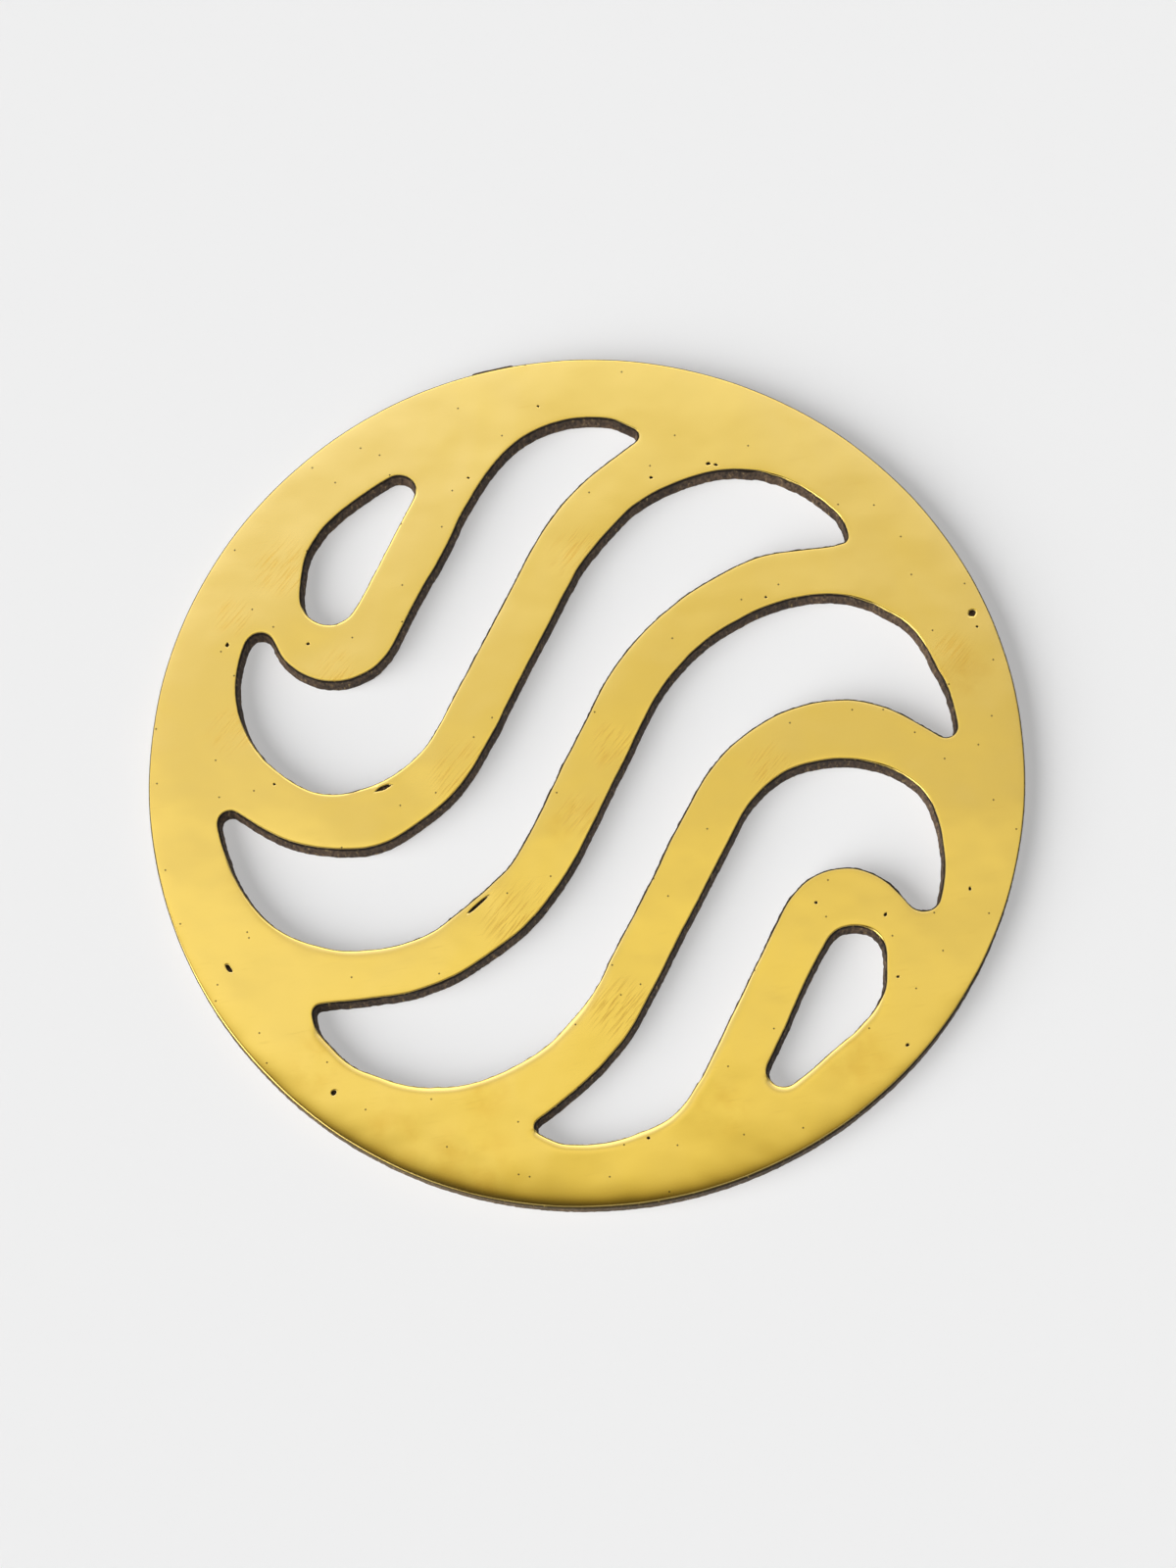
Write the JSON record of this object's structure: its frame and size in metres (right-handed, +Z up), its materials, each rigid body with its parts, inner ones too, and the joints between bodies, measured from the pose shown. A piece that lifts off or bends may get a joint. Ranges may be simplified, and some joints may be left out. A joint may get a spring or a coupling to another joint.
{
  "type": "coaster",
  "caption": "Round cast brass coaster pierced with flowing wave openings, polished on top and stood on thin felt pads, for resting a glass or cup on.",
  "frame": {"origin": "middle of the coaster on the table, at the undersides of the felt pads", "axes": "+Z up out of the polished top, +Y away from the viewer, +X to the viewer's right"},
  "size_m": [0.11, 0.11, 0.0035],
  "materials": {
    "cast_brass": "sand-cast brass, polished on top, dark and grainy on the walls",
    "felt": "dense pressed felt"
  },
  "bodies": {
    "root": {"wave_plate": "cast_brass", "felt_pad_right": "felt", "felt_pad_back": "felt", "felt_pad_left": "felt", "felt_pad_front": "felt"}
  },
  "joints": []
}
